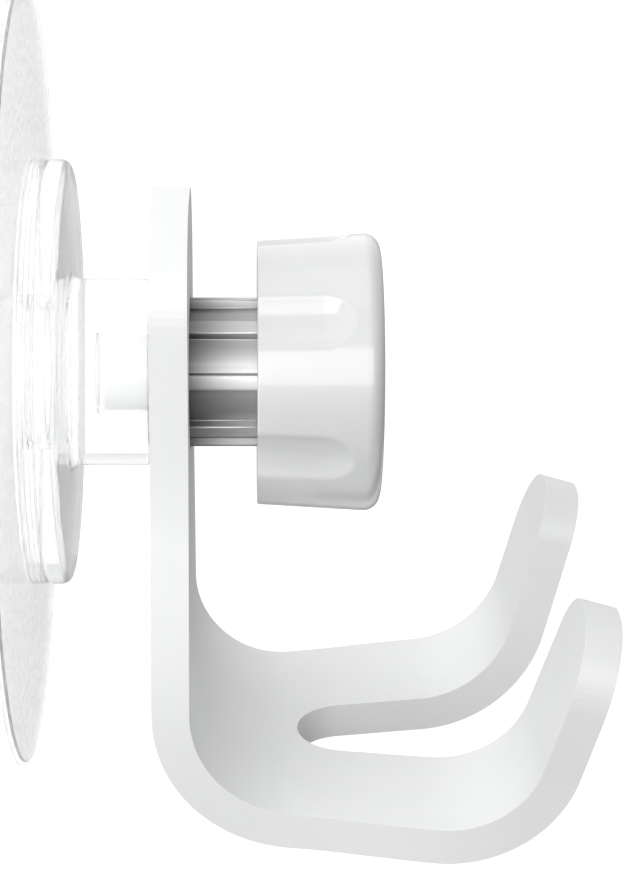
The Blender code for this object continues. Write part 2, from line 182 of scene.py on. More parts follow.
def addNoise(finish, place, scale, detail=3.0, stretch=(1, 1, 1)):
    mapping = addNode(finish, "ShaderNodeMapping", [("Vector", place)], Scale=stretch)
    noise = addNode(finish, "ShaderNodeTexNoise", [("Vector", mapping.outputs["Vector"])],
                    Scale=scale, Detail=detail)
    return noise.outputs["Fac"]


def rampBetween(finish, source, stops):
    ramp = addNode(finish, "ShaderNodeValToRGB", [("Fac", source)])
    band = ramp.color_ramp
    while len(band.elements) < len(stops):
        band.elements.new(0.5)
    for element, (where, tone) in zip(band.elements, stops):
        element.position = where
        element.color = (*tone, 1)
    return ramp.outputs["Color"]


def grey(value):
    return (value, value, value)


def raiseSurface(finish, shader, heights):
    # heights is a list of (height, strength, depth), laid one on the other
    below = None
    for height, strength, depth in heights:
        bump = addNode(finish, "ShaderNodeBump", [("Height", height)], Strength=strength, Distance=depth)
        if below is not None:
            finish.node_tree.links.new(below, bump.inputs["Normal"])
        below = bump.outputs["Normal"]
    finish.node_tree.links.new(below, shader.inputs["Normal"])


def linkTo(finish, source, shader, socket):
    finish.node_tree.links.new(source, shader.inputs[socket])


def varyTone(finish, shader, source, stops):
    linkTo(finish, rampBetween(finish, source, stops), shader, "Base Color")


def varyRoughness(finish, shader, source, smooth, rough, stops=(0.3, 0.7)):
    ramp = rampBetween(finish, source, [(stops[0], grey(smooth)), (stops[1], grey(rough))])
    linkTo(finish, ramp, shader, "Roughness")


def mapRange(finish, source, start, end, low=0.0, high=1.0):
    node = addNode(finish, "ShaderNodeMapRange", [("Value", source)])
    for socket, value in (("From Min", start), ("From Max", end), ("To Min", low), ("To Max", high)):
        node.inputs[socket].default_value = value
    return node.outputs["Result"]


whiteLook = {
    "bracketTone": (0.885, 0.890, 0.893),
    "bracketShade": (0.865, 0.871, 0.875),
    "bracketRoughness": (0.36, 0.46),
    "bracketGrainDepth": 0.00001,
    "knobTone": (0.770, 0.774, 0.777),
    "knobShade": (0.757, 0.762, 0.766),
    "knobRoughness": (0.15, 0.21),
    "knobGrainDepth": 0.000005,
    "knobCoat": 0.7,
    "knobCoatRoughness": 0.05,
    "grainScale": 5200,
    "moldWaveScale": 160,
    "moldWaveDepth": 0.0002,
}


def makeBracketWhite():
    finish, shader, place = startFinish("bracketWhite", {"IOR": 1.5, "Specular IOR Level": 0.5})
    cloud = addNoise(finish, place, whiteLook["moldWaveScale"], 4)
    varyTone(finish, shader, cloud, [(0.3, whiteLook["bracketShade"]), (0.7, whiteLook["bracketTone"])])
    grain = addNoise(finish, place, whiteLook["grainScale"], 2)
    varyRoughness(finish, shader, grain, *whiteLook["bracketRoughness"])
    raiseSurface(finish, shader, [(cloud, 0.05, whiteLook["moldWaveDepth"]),
                                  (grain, 0.10, whiteLook["bracketGrainDepth"])])
    return finish


def makeKnobWhite():
    finish, shader, place = startFinish("knobWhite", {"IOR": 1.5, "Coat Weight": whiteLook["knobCoat"],
                                                      "Coat Roughness": whiteLook["knobCoatRoughness"]})
    cloud = addNoise(finish, place, whiteLook["moldWaveScale"] * 1.5, 3)
    varyTone(finish, shader, cloud, [(0.3, whiteLook["knobShade"]), (0.7, whiteLook["knobTone"])])
    grain = addNoise(finish, place, whiteLook["grainScale"], 2)
    varyRoughness(finish, shader, grain, *whiteLook["knobRoughness"])
    raiseSurface(finish, shader, [(cloud, 0.05, whiteLook["moldWaveDepth"]),
                                  (grain, 0.04, whiteLook["knobGrainDepth"])])
    return finish


clearLook = {
    "plasticTint": (0.920, 0.925, 0.928),
    "plasticLight": (0.955, 0.959, 0.961),
    "plasticPass": 0.86,  # how much light goes through
    "plasticRoughness": (0.05, 0.11),
    "plasticHazeScale": 900,
    "flowScale": 90,  # the slow waves that moulded plastic keeps from its flow
    "flowDepth": 0.00004,
    "filmTint": (0.985, 0.988, 0.988),
    "filmLight": (0.99, 0.99, 0.99),
    "filmPass": 0.92,
    "filmRoughness": (0.08, 0.18),
    "filmHazeScale": 1400,
    "filmFlowScale": 70,
    "gelTint": (0.965, 0.97, 0.97),
    "gelLight": (0.985, 0.987, 0.987),
    "gelPass": 0.88,
    "gelRoughness": (0.30, 0.42),
    "gelHazeScale": 600,
    "gelCellScale": 1300.0,
    "gelCellDepth": 0.00002,
}


def makePlasticClear():
    finish, shader, place = startFinish("plasticClear", {
        "IOR": 1.11, "Transmission Weight": clearLook["plasticPass"]})
    flow = addNoise(finish, place, clearLook["flowScale"], 2, (1.0, 1.0, 0.45))
    varyTone(finish, shader, flow, [(0.35, clearLook["plasticTint"]), (0.7, clearLook["plasticLight"])])
    haze = addNoise(finish, place, clearLook["plasticHazeScale"], 3)
    varyRoughness(finish, shader, haze, *clearLook["plasticRoughness"], (0.4, 0.75))
    raiseSurface(finish, shader, [(flow, 0.25, clearLook["flowDepth"])])
    return finish


def makeFilmClear():
    finish, shader, place = startFinish("filmClear", {
        "IOR": 1.03, "Transmission Weight": clearLook["filmPass"]})
    flow = addNoise(finish, place, clearLook["filmFlowScale"], 3)
    varyTone(finish, shader, flow, [(0.3, clearLook["filmTint"]), (0.7, clearLook["filmLight"])])
    haze = addNoise(finish, place, clearLook["filmHazeScale"], 2)
    varyRoughness(finish, shader, haze, *clearLook["filmRoughness"])
    raiseSurface(finish, shader, [(flow, 0.1, clearLook["flowDepth"])])
    return finish


def makeGelClear():
    finish, shader, place = startFinish("gelClear", {
        "IOR": 1.04, "Transmission Weight": clearLook["gelPass"]})
    cells = addNode(finish, "ShaderNodeTexVoronoi", [("Vector", place)], Scale=clearLook["gelCellScale"])
    away = cells.outputs["Distance"]
    varyTone(finish, shader, away, [(0.1, clearLook["gelTint"]), (0.6, clearLook["gelLight"])])
    haze = addNoise(finish, place, clearLook["gelHazeScale"], 3)
    varyRoughness(finish, shader, haze, *clearLook["gelRoughness"])
    raiseSurface(finish, shader, [(away, 0.2, clearLook["gelCellDepth"])])
    return finish


metalLook = {
    "ribTone": (0.37, 0.37, 0.375),
    # painted shade: the grooves' tone is darker than the ribs', for the shade that falls in them
    "grooveShade": (0.28, 0.28, 0.285),
    "plateShade": 0.56,  # painted shade: the bar's tone is scaled down by this beside the bracket
    "knobLight": 1.95,  # and painted light: scaled up by this beside the knob
    "barRoughness": (0.36, 0.48),
    "barLineScale": 2600,
    # painted highlight: the spigot seen through the clear boss is painted white
    "spigotHighlight": (0.93, 0.93, 0.93),
    "spigotHighlightEdge": 0.0001,
    "brassTone": (0.78, 0.58, 0.27),
    "brassRoughness": 0.30,
    "steelTone": (0.60, 0.60, 0.61),
    "steelRoughness": 0.28,
    "turnedSpread": 0.06,  # how far a turned piece's roughness strays either way
    "turnedShade": 0.82,  # the tone of its duller patches
    "lineDepth": 0.00002,
}


def makePostMetal(rootRadius, ribRadius, shoulder, plateFront, knobBack):
    # drawn bar: fine lines run along the axis, and painted shade makes the grooves darker than the ribs
    finish, shader, place = startFinish("postMetal", {"IOR": 1.5})
    split = addNode(finish, "ShaderNodeSeparateXYZ", [("Vector", place)])
    flat = addNode(finish, "ShaderNodeCombineXYZ", [("Y", split.outputs["Y"]), ("Z", split.outputs["Z"])])
    out = addNode(finish, "ShaderNodeVectorMath", [("Vector", flat.outputs["Vector"])], operation="LENGTH")
    # painted shade: the tone darkens from the ribs down into the grooves
    depth = mapRange(finish, out.outputs["Value"], rootRadius, ribRadius)
    bare = rampBetween(finish, depth, [(0.15, metalLook["grooveShade"]), (0.9, metalLook["ribTone"])])
    # painted shade and light: the bar is darker towards the bracket and lighter towards the knob
    along = mapRange(finish, split.outputs["X"], plateFront, knobBack,
                     metalLook["plateShade"], metalLook["knobLight"])
    paintedLightTone = addNode(finish, "ShaderNodeVectorMath", [("Vector", bare), ("Scale", along)], operation="SCALE")
    # painted highlight: the spigot inside the clear boss is painted white, not metal, up to the shoulder
    edge = metalLook["spigotHighlightEdge"]
    spigotHighlightMask = mapRange(finish, split.outputs["X"], shoulder - edge, shoulder + edge)
    mix = addNode(finish, "ShaderNodeMix", [("Factor", spigotHighlightMask)], data_type="RGBA")
    mix.inputs["A"].default_value = (*metalLook["spigotHighlight"], 1)
    finish.node_tree.links.new(paintedLightTone.outputs["Vector"], mix.inputs["B"])
    linkTo(finish, mix.outputs["Result"], shader, "Base Color")
    linkTo(finish, spigotHighlightMask, shader, "Metallic")
    lines = addNoise(finish, place, metalLook["barLineScale"], 3, (0.02, 1, 1))
    varyRoughness(finish, shader, lines, *metalLook["barRoughness"])
    raiseSurface(finish, shader, [(lines, 0.10, metalLook["lineDepth"])])
    return finish


def makeTurnedMetal(name, tone, roughness):
    finish, shader, place = startFinish(name, {"Metallic": 1.0})
    cloud = addNoise(finish, place, 700, 4)
    dull = tuple(c * metalLook["turnedShade"] for c in tone)
    varyTone(finish, shader, cloud, [(0.3, dull), (0.65, tone)])
    lines = addNoise(finish, place, 1800, 2, (1, 0.1, 0.1))
    stray = metalLook["turnedSpread"]
    varyRoughness(finish, shader, lines, roughness - stray, roughness + stray)
    raiseSurface(finish, shader, [(lines, 0.15, metalLook["lineDepth"])])
    return finish


nylonLook = {
    "tone": (0.84, 0.84, 0.82),
    "shade": (0.78, 0.78, 0.75),
    "roughness": (0.40, 0.52),
    "cloudScale": 500,
    "grainScale": 4200,
    "grainDepth": 0.00001,
}


def makeWasherNylon():
    finish, shader, place = startFinish("washerNylon", {"Subsurface Weight": 0.15,
                                                        "Subsurface Scale": 0.001})
    cloud = addNoise(finish, place, nylonLook["cloudScale"], 4)
    varyTone(finish, shader, cloud, [(0.3, nylonLook["shade"]), (0.7, nylonLook["tone"])])
    varyRoughness(finish, shader, cloud, *nylonLook["roughness"])
    grain = addNoise(finish, place, nylonLook["grainScale"], 2)
    raiseSurface(finish, shader, [(grain, 0.15, nylonLook["grainDepth"])])
    return finish


print("shared work ready")


# adhesive pad: the gel and the film that carries it
padForm = {
    "steps": 256,
    "gelEdgeRound": 0.00012,
    "filmEdgeRound": 0.00008,
}


def buildPad():
    angles = evenAngles(padForm["steps"])
    for name, node, edge, finish, slotName in (
            ("gelSheet", "adhesive_gel", padForm["gelEdgeRound"], makeGelClear(), "adhesive_gel"),
            ("filmSheet", "carrier_film", padForm["filmEdgeRound"], makeFilmClear(), "clear_film")):
        low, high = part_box(node)
        outline = [(high.x, 0), (high.x, high.z), (low.x, high.z), (low.x, 0)]
        outline = softCorners(outline, {1: edge, 2: edge})
        addPiece(name, turnedMesh(name, outline, angles), finish, "base", node)


buildPad()
print("adhesive pad made")


# clear base: two discs, the front one with the boss
baseForm = {
    "steps": 192,
    "coreRadius": 0.0072,
    "coreDepth": 0.0014,
    "frontDisc": 0.0022,
    "bossRadius": 0.00955,
    "bossFillet": 0.0008,
    "bossEdgeRound": 0.0004,
    "rimRound": 0.0009,
    "edgeBreak": 0.0002,
    "coreMouth": 0.0001,
    "coreCorner": 0.0003,
    "socketRadius": 0.00395,
    "socketMouth": 0.00015,
    "socketCorner": 0.0003,
    "socketFloor": 0.00255,  # from the front disc's face
    "rimGroove": 0.00007,  # depth of the mould lines round the rim
    "rimGrooveWidth": 0.00022,
    "rimGrooves": 3,
}


def groovedRim(start, end, radius, count):
    # points of a rim from start to end with shallow grooves round it
    width = baseForm["rimGrooveWidth"]
    points = []
    for i in range(count):
        middle = start + (end - start) * (i + 0.5) / count
        side = math.copysign(width / 2, end - start)
        points += [(middle - side, radius), (middle - side / 2, radius - baseForm["rimGroove"]),
                   (middle + side / 2, radius - baseForm["rimGroove"]), (middle + side, radius)]
    return points


def buildBase():
    angles = evenAngles(baseForm["steps"])
    plastic = makePlasticClear()
    low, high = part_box("base_back_disc")
    rim = high.z
    edge = baseForm["edgeBreak"]
    core = baseForm["coreRadius"]
    outline = [(high.x, core), (high.x, rim - edge), (high.x - edge, rim)]
    outline += groovedRim(high.x - edge, low.x + edge, rim, baseForm["rimGrooves"])
    outline += [(low.x + edge, rim), (low.x, rim - edge), (low.x, core)]
    corners = {0: baseForm["coreMouth"], len(outline) - 1: baseForm["coreMouth"]}
    mesh = turnedMesh("backDiscClear", softCorners(outline, corners), angles, joinEnds=True)
    addPiece("backDiscClear", mesh, plastic, "base", "base_back_disc")

    low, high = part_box("base_front_disc")
    face = low.x + baseForm["frontDisc"]
    boss = baseForm["bossRadius"]
    socket = baseForm["socketRadius"]
    floor = face + baseForm["socketFloor"]
    outline = [(floor, 0), (floor, socket), (high.x, socket), (high.x, boss), (face, boss)]
    outline += [(face, rim), (low.x + edge, rim), (low.x, rim - edge), (low.x, core)]
    outline += [(low.x + baseForm["coreDepth"], core), (low.x + baseForm["coreDepth"], 0)]
    corners = {1: baseForm["socketCorner"], 2: baseForm["socketMouth"], 3: baseForm["bossEdgeRound"],
               4: baseForm["bossFillet"], 5: baseForm["rimRound"], 8: baseForm["coreMouth"],
               9: baseForm["coreCorner"]}
    mesh = turnedMesh("frontDiscClear", softCorners(outline, corners, 6), angles)
    addPiece("frontDiscClear", mesh, plastic, "base", "base_front_disc")


buildBase()
print("clear base made")


# ribbed post, with a spigot behind and a stepped bore in front
postForm = {
    "ribs": 8,
    "ribRadius": 0.00765,
    "rootRadius": 0.00665,
    "ribAngle": math.radians(13),
    "turn": math.radians(-10),
    "ribRound": 0.00022,
    "rootRound": 0.00018,
    "spigotRadius": 0.0039,
    "endChamfer": 0.0003,
    "insertRoom": 0.00455,
    "screwRoom": 0.00305,
    "boreWall": 0.0009,
    "bondGap": 0.00005,  # between the bar and what it is bonded to
    "sheet": 0.0038,  # thickness of the bracket that the bar passes through
}


def ribbedSection(gap=0.0):
    # (angle, radius) all round the post's outline, grown by a gap
    top = postForm["ribRadius"] + gap
    root = postForm["rootRadius"] + gap
    half = postForm["ribAngle"] / 2 + gap / postForm["ribRadius"]
    pitch = fullTurn / postForm["ribs"]
    outer, inner = postForm["ribRound"], postForm["rootRound"]
    side = []
    for k in range(4):
        side.append((half / 2 + (half / 2 - outer / top) * (k / 3), top))
    for k in range(1, 5):
        bend = math.pi / 2 * k / 4
        side.append((half - outer / top * (1 - math.sin(bend)), top - outer * (1 - math.cos(bend))))
    for k in range(5):
        bend = math.pi / 2 * k / 4
        side.append((half + inner / root * (1 - math.cos(bend)), root + inner * (1 - math.sin(bend))))
    start = side[-1][0]
    for k in range(1, 4):
        side.append((start + (pitch / 2 - start) * k / 3, root))
    points = []
    for rib in range(postForm["ribs"]):
        middle = rib * pitch + postForm["turn"]
        points.append((middle, top))
        points += [(middle + a, r) for a, r in side]
        points += [(middle + pitch - a, r) for a, r in side[-2::-1]]
    return points


def buildPost():
    low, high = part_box("splined_post")
    gap = postForm["bondGap"]
    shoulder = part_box("base_front_disc")[1].x + gap
    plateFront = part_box("hook_bracket")[0].x + postForm["sheet"]
    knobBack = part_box("knob_body")[0].x
    finish = makePostMetal(postForm["rootRadius"], postForm["ribRadius"], shoulder, plateFront, knobBack)
    section = ribbedSection()
    angles = [a for a, r in section]
    ribbed = [r for a, r in section]
    trimmed = [r - postForm["endChamfer"] for r in ribbed]
    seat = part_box("threaded_insert")[0].x - gap

    def plain(x, radius):
        return ringAt(x, [radius] * len(angles), angles)

    chamfer = postForm["endChamfer"]
    spigot = postForm["spigotRadius"]
    blind = low.x + postForm["boreWall"]
    narrow, wide = postForm["screwRoom"], postForm["insertRoom"]
    rings = [[(blind, 0, 0)], plain(blind, narrow), plain(seat, narrow), plain(seat, wide)]
    rings += [plain(high.x - chamfer, wide), plain(high.x, wide + chamfer)]
    rings += [ringAt(high.x, trimmed, angles), ringAt(high.x - chamfer, ribbed, angles)]
    rings += [ringAt(shoulder + chamfer, ribbed, angles), ringAt(shoulder, trimmed, angles)]
    rings += [plain(shoulder, spigot), plain(low.x + chamfer, spigot), plain(low.x, spigot - chamfer)]
    rings += [[(low.x, 0, 0)]]
    addPiece("postBar", loftRings("postBar", rings), finish, "base", "splined_post")


buildPost()
print("post made")


# threaded insert in the post, and the knob's screw
threadForm = {
    "pitch": 0.001,
    "depth": 0.00035,
    "stepsAround": 64,
    "stepsPerPitch": 10,
    "insertKnurls": 48,
    "knurlDepth": 0.00014,
    "knurlLean": 60,  # radians of twist in a metre, one way and then the other
    "knurlRows": 8,
    "insertEnd": 0.0003,  # bevel on the insert's two ends
    "insertMouth": 0.0034,
    "insertBore": 0.00307,
    "insertGrooveDepth": 0.0004,
    "insertGrooveWidth": 0.001,
    "shank": 0.003,
    "shankFillet": 0.0003,
    "runOut": 0.0012,  # plain shank left under the head
    "headFlats": 0.010,
    "headThickness": 0.0018,
    "headChamfer": 0.0004,
    "headFaceIn": 0.0001,
    "tipChamfer": 0.00075,
    "crestUnder": 0.00001,  # the thread's crests stay this far inside the shank's radius
}


def threadRings(start, end, crest, depth, angles):
    # crest is the radius at the thread's ridge; a positive depth cuts inwards and a negative one outwards
    pitch = threadForm["pitch"]
    count = max(2, round(abs(end - start) / pitch * threadForm["stepsPerPitch"]))
    rings = []
    for x in spread(start, end, count):
        # the thread fades in and out over two thirds of a turn
        fade = min(1, 1.5 * abs(x - start) / pitch, 1.5 * abs(end - x) / pitch)
        radii = []
        for a in angles:
            wave = abs((x / pitch - a / fullTurn) % 1 - 0.5) * 2
            groove = min(1, max(0, 1.25 * wave - 0.12))  # a narrow crest, sloped sides and a flat root
            radii.append(crest - depth * fade * groove)
        rings.append(ringAt(x, radii, angles))
    return rings


def buildInsert():
    low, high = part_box("threaded_insert")
    radius = high.z
    angles = evenAngles(threadForm["insertKnurls"] * 4)
    middle = (low.x + high.x) / 2
    half = threadForm["insertGrooveWidth"] / 2
    groove = radius - threadForm["insertGrooveDepth"]

    def plain(x, r):
        return ringAt(x, [r] * len(angles), angles)

    def knurled(start, end, lean):
        rings = []
        for x in spread(start, end, threadForm["knurlRows"]):
            radii = []
            for a in angles:
                wave = math.cos(threadForm["insertKnurls"] * (a + lean * (x - start)))
                radii.append(radius - threadForm["knurlDepth"] * (0.5 - 0.5 * wave))
            rings.append(ringAt(x, radii, angles))
        return rings

    end, mouth, lean = threadForm["insertEnd"], threadForm["insertMouth"], threadForm["knurlLean"]
    rings = [plain(low.x, mouth), plain(low.x, radius - end)]
    rings += knurled(low.x + end, middle - half, lean)
    rings += [plain(middle - half, groove), plain(middle + half, groove)]
    rings += knurled(middle + half, high.x - end, -lean)
    rings += [plain(high.x, radius - end), plain(high.x, mouth)]
    rings += threadRings(high.x - end, low.x + end, threadForm["insertBore"], -threadForm["depth"], angles)
    mesh = loftRings("insertSleeve", rings, joinEnds=True)
    finish = makeTurnedMetal("insertBrass", metalLook["brassTone"], metalLook["brassRoughness"])
    addPiece("insertSleeve", mesh, finish, "base", "threaded_insert")


def buildScrew():
    low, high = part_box("knob_screw")
    headBack = high.x - threadForm["headThickness"]
    angles = evenAngles(96)
    flats = threadForm["headFlats"] / 2
    corner = flats / math.cos(math.pi / 6)
    turn = postForm["turn"]

    def hexRing(x, limit):
        radii = []
        for a in angles:
            off = (a - turn + math.pi / 6) % (math.pi / 3) - math.pi / 6
            radii.append(min(flats / math.cos(off), limit))
        return ringAt(x, radii, angles)

    chamfer = threadForm["headChamfer"]
    rings = [[(high.x, 0, 0)], hexRing(high.x, flats - threadForm["headFaceIn"])]
    rings += [hexRing(high.x - chamfer, corner)]
    rings += [hexRing(headBack + chamfer / 2, corner), hexRing(headBack, corner - chamfer / 2)]
    shank, fillet, under = threadForm["shank"], threadForm["shankFillet"], threadForm["crestUnder"]
    rings += [ringAt(headBack, [shank + fillet] * len(angles), angles)]
    rings += [ringAt(headBack - fillet, [shank - 2 * under] * len(angles), angles)]
    tip = threadForm["tipChamfer"]
    threadStart = headBack - threadForm["runOut"]
    rings += threadRings(threadStart, low.x + tip, shank - under, threadForm["depth"], angles)
    rings += [ringAt(low.x, [shank - tip] * len(angles), angles), [(low.x, 0, 0)]]
    finish = makeTurnedMetal("screwSteel", metalLook["steelTone"], metalLook["steelRoughness"])
    addPiece("screwShape", loftRings("screwShape", rings), finish, "knob", "knob_screw")


buildInsert()
buildScrew()
print("insert and screw made")


# thrust washer: its bore fits the post's ribs
washerForm = {
    "gap": 0.00025,  # round the post's ribs
    "inside": 0.007,
    "faceRadius": 0.0094,
    "flangeThickness": 0.0012,
    "edgeRound": 0.00012,
}


def buildWasher():
    low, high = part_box("thrust_washer")
    section = ribbedSection(washerForm["gap"])
    angles = [a for a, r in section]
    bore = [r for a, r in section]
    soft = washerForm["edgeRound"]
    flange = high.z
    step = high.x - washerForm["flangeThickness"]
    face, inside = washerForm["faceRadius"], washerForm["inside"]
    outline = [(high.x, inside), (high.x, flange), (step, flange)]
    outline += [(step, face), (low.x, face), (low.x, inside)]
    rounded = softCorners(outline, {1: soft, 2: soft, 3: soft, 4: soft})[1:-1]
    rings = [ringAt(low.x, [r + soft for r in bore], angles), ringAt(low.x + soft, bore, angles)]
    rings += [ringAt(high.x - soft, bore, angles), ringAt(high.x, [r + soft for r in bore], angles)]
    rings += [ringAt(x, [r] * len(angles), angles) for x, r in rounded]
    mesh = loftRings("washerRing", rings, joinEnds=True)
    addPiece("washerRing", mesh, makeWasherNylon(), "washer", "thrust_washer")


buildWasher()
print("washer made")


# fluted knob and its cap
knobForm = {
    "backRadius": 0.01355,
    "frontRadius": 0.0143,
    "frontRound": 0.0016,
    "backRound": 0.0002,
    "flutes": 6,
    "fluteRadius": 0.0048,
    "fluteDepth": 0.0011,
    "fluteLength": 0.0095,
    "fluteEdge": 0.00022,  # how softly a flute's edge rolls into the side
    "turn": math.radians(-10),
    "stepsAround": 360,
    "stepsAlong": 64,
    "lip": 0.0008,
    "lipRadius": 0.0097,
    "grooveRadius": 0.0105,
    "grooveEnd": 0.0026,
    "recessRadius": 0.0079,
    "recessEnd": 0.0080,
    "floor": 0.0012,
    "shankRoom": 0.00305,
    "capRoom": 0.00965,
    "capSeat": 0.01135,
    "capRound": 0.00018,
    "capCrown": 0.0003,
    "rimBreak": 0.00008,  # round the cap's pocket
    "lipBreak": 0.0001,
    "hexRoom": 0.00005,  # between the screw's head and its pocket
    "fadeFrom": 0.0008,  # how far outside the cap's pocket the flutes start to fade in
    "fadeOver": 0.0016,
}


def flutedRadius(outer, along, angle):
    pitch = fullTurn / knobForm["flutes"]
    off = (angle - knobForm["turn"] + pitch / 2) % pitch - pitch / 2
    tool, depth = knobForm["fluteRadius"], knobForm["fluteDepth"]
    ball = knobForm["fluteLength"] - math.sqrt(tool ** 2 - (tool - depth) ** 2)
    past = max(along - ball, 0)
    away = outer + tool - depth
    room = tool ** 2 - past ** 2 - (away * math.sin(off)) ** 2
    if room <= 0:
        return outer
    cut = away * math.cos(off) - math.sqrt(room)
    soft = knobForm["fluteEdge"]
    blend = max(soft - abs(cut - outer), 0) / soft
    return min(cut, outer) - blend * blend * soft / 4


def buildKnob():
    low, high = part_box("knob_body")
    start = low.x
    length = high.x - start
    angles = evenAngles(knobForm["stepsAround"])
    back, front = knobForm["backRadius"], knobForm["frontRadius"]
    outline = [(length, knobForm["capRoom"]), (length, front), (0, back), (0, knobForm["lipRadius"])]
    rounded = softCorners(outline, {0: knobForm["rimBreak"], 1: knobForm["frontRound"],
                                    2: knobForm["backRound"], 3: knobForm["lipBreak"]}, 8)
    side = []
    for (x, r), (nextX, nextR) in zip(rounded, rounded[1:]):
        count = max(1, math.ceil(math.hypot(nextX - x, nextR - r) / length * knobForm["stepsAlong"]))
        for k in range(count):
            side.append((x + (nextX - x) * k / count, r + (nextR - r) * k / count))
    side.append(rounded[-1])
    fadeStart = knobForm["capRoom"] + knobForm["fadeFrom"]
    rings = []
    for x, r in side:
        taper = back + (front - back) * x / length
        shift = [flutedRadius(taper, x, a) - taper for a in angles]
        reach = max(0, min(1, (r - fadeStart) / knobForm["fadeOver"]))
        rings.append(ringAt(start + x, [r + s * reach for s in shift], angles))

    def plain(x, r):
        return ringAt(start + x, [r] * len(angles), angles)

    def hexed(x):
        flats = threadForm["headFlats"] / 2 + knobForm["hexRoom"]
        radii = []
        for a in angles:
            off = (a - knobForm["turn"] + math.pi / 6) % (math.pi / 3) - math.pi / 6
            radii.append(flats / math.cos(off))
        return ringAt(start + x, radii, angles)

    headSeat = knobForm["recessEnd"] + knobForm["floor"]
    # inside, from the back: the washer's groove, the post's recess and the shank's hole
    for x, before, after in ((knobForm["lip"], "lipRadius", "grooveRadius"),
                             (knobForm["grooveEnd"], "grooveRadius", "recessRadius"),
                             (knobForm["recessEnd"], "recessRadius", "shankRoom")):
        rings += [plain(x, knobForm[before]), plain(x, knobForm[after])]
    rings += [plain(headSeat, knobForm["shankRoom"]), hexed(headSeat)]
    rings += [hexed(knobForm["capSeat"]), plain(knobForm["capSeat"], knobForm["capRoom"])]
    white = makeKnobWhite()
    mesh = loftRings("knobShell", rings, joinEnds=True)
    addPiece("knobShell", mesh, white, "knob", "knob_body")

    low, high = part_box("knob_cap")
    radius = high.z
    soft = knobForm["capRound"]
    crown = knobForm["capCrown"]
    outline = [(high.x - crown * t * t, radius * t) for t in (0, 0.15, 0.3, 0.45, 0.6, 0.75, 0.88)]
    outline += [(high.x - crown, radius), (low.x, radius), (low.x, 0)]
    outline = softCorners(outline, {7: soft, 8: soft}, 5)
    mesh = turnedMesh("knobCapDisc", outline, evenAngles(180))
    addPiece("knobCapDisc", mesh, white, "knob", "knob_cap")


buildKnob()
print("knob made")


# bent bracket: one sheet, told by how far along it each row of points lies
bracketForm = {
    "sheet": 0.0038,
    "topLength": 0.0184,
    "topCorner": 0.0102,
    "plateLength": 0.0302,
    "firstBendRadius": 0.0104,
    "firstBend": math.radians(90),
    "shelf": 0.0145,
    "secondBendRadius": 0.0105,
    "secondBend": math.radians(74),
    "prong": 0.0150,
    "topHalf": 0.0131,
    "bendHalf": 0.0181,
    "shelfHalf": 0.0195,
    "riseHalf": 0.0228,
    "tipHalf": 0.0260,
    "slotRound": 0.0055,
    "slotSetback": 0.0008,
    "slotFlare": math.radians(9.6),
    "tipOuterRound": 0.0083,
    "tipSlotRound": 0.0047,
    "edgeRound": 0.00045,
    "edgeSegments": 4,
    "hole": 0.0079,
    "holeSteps": 128,
    "widthFrom": 0.00765,  # where the outline starts to widen, below the axis
    "widthEase": 0.006,
}


def sheetMarks():
    f = bracketForm
    bendStart = f["plateLength"]
    shelfStart = bendStart + f["firstBendRadius"] * f["firstBend"]
    riseStart = shelfStart + f["shelf"]
    prongStart = riseStart + f["secondBendRadius"] * f["secondBend"]
    return bendStart, shelfStart, riseStart, prongStart, prongStart + f["prong"]


def sheetPoint(along):
    # where the sheet's front face is, (x, z), this far along it below the post's axis
    f = bracketForm
    bendStart, shelfStart, riseStart, prongStart, sheetEnd = sheetMarks()
    x, z, heading = 0.0, -min(along, bendStart), 0.0
    for start, end, radius, angle in ((bendStart, shelfStart, f["firstBendRadius"], f["firstBend"]),
                                      (riseStart, prongStart, f["secondBendRadius"], f["secondBend"])):
        turned = angle * (min(max(along, start), end) - start) / (end - start)
        x += radius * (math.cos(heading) - math.cos(heading + turned))
        z += radius * (math.sin(heading) - math.sin(heading + turned))
        heading += turned
        after = riseStart if start == bendStart else sheetEnd
        run = min(max(along, end), after) - end
        x += run * math.sin(heading)
        z -= run * math.cos(heading)
    return x, z


def easedThrough(knots, along):
    # a smooth value through (along, value) knots, by cubic pieces with shared slopes
    places = [k[0] for k in knots]
    values = [k[1] for k in knots]
    slopes = []
    for i in range(len(knots)):
        if i in (0, len(knots) - 1):
            a, b = (0, 1) if i == 0 else (i - 1, i)
            slopes.append((values[b] - values[a]) / (places[b] - places[a]))
        else:
            before, after = places[i] - places[i - 1], places[i + 1] - places[i]
            slopes.append((before ** 2 * values[i + 1] + (after ** 2 - before ** 2) * values[i]
                           - after ** 2 * values[i - 1]) / (before * after * (before + after)))
    i = max(k for k in range(len(knots) - 1) if k == 0 or along > places[k])
    span = places[i + 1] - places[i]
    t = min(max((along - places[i]) / span, 0), 1)
    return ((1 + 2 * t) * (1 - t) ** 2 * values[i] + t * (1 - t) ** 2 * span * slopes[i]
            + t * t * (3 - 2 * t) * values[i + 1] - t * t * (1 - t) * span * slopes[i + 1])


def roundedOff(radius, left):
    if left >= radius:
        return 0.0
    return radius - math.sqrt(max(radius ** 2 - (radius - left) ** 2, 0))


def outerHalf(along):
    f = bracketForm
    bendStart, shelfStart, riseStart, prongStart, sheetEnd = sheetMarks()
    width = easedThrough(((f["widthFrom"], f["topHalf"]), (bendStart, f["bendHalf"]),
                          (shelfStart, f["shelfHalf"]), (riseStart, f["riseHalf"]),
                          (sheetEnd, f["tipHalf"])), along)
    # the edge turns gently from straight to widening
    ease, past = f["widthEase"], along - f["widthFrom"]
    if abs(past) < ease:
        slope = (f["bendHalf"] - f["topHalf"]) / (bendStart - f["widthFrom"])
        width += slope * ((past + ease) ** 2 / (4 * ease) - max(past, 0))
    width -= roundedOff(f["topCorner"], along + f["topLength"])
    return width - roundedOff(f["tipOuterRound"], sheetEnd - along)


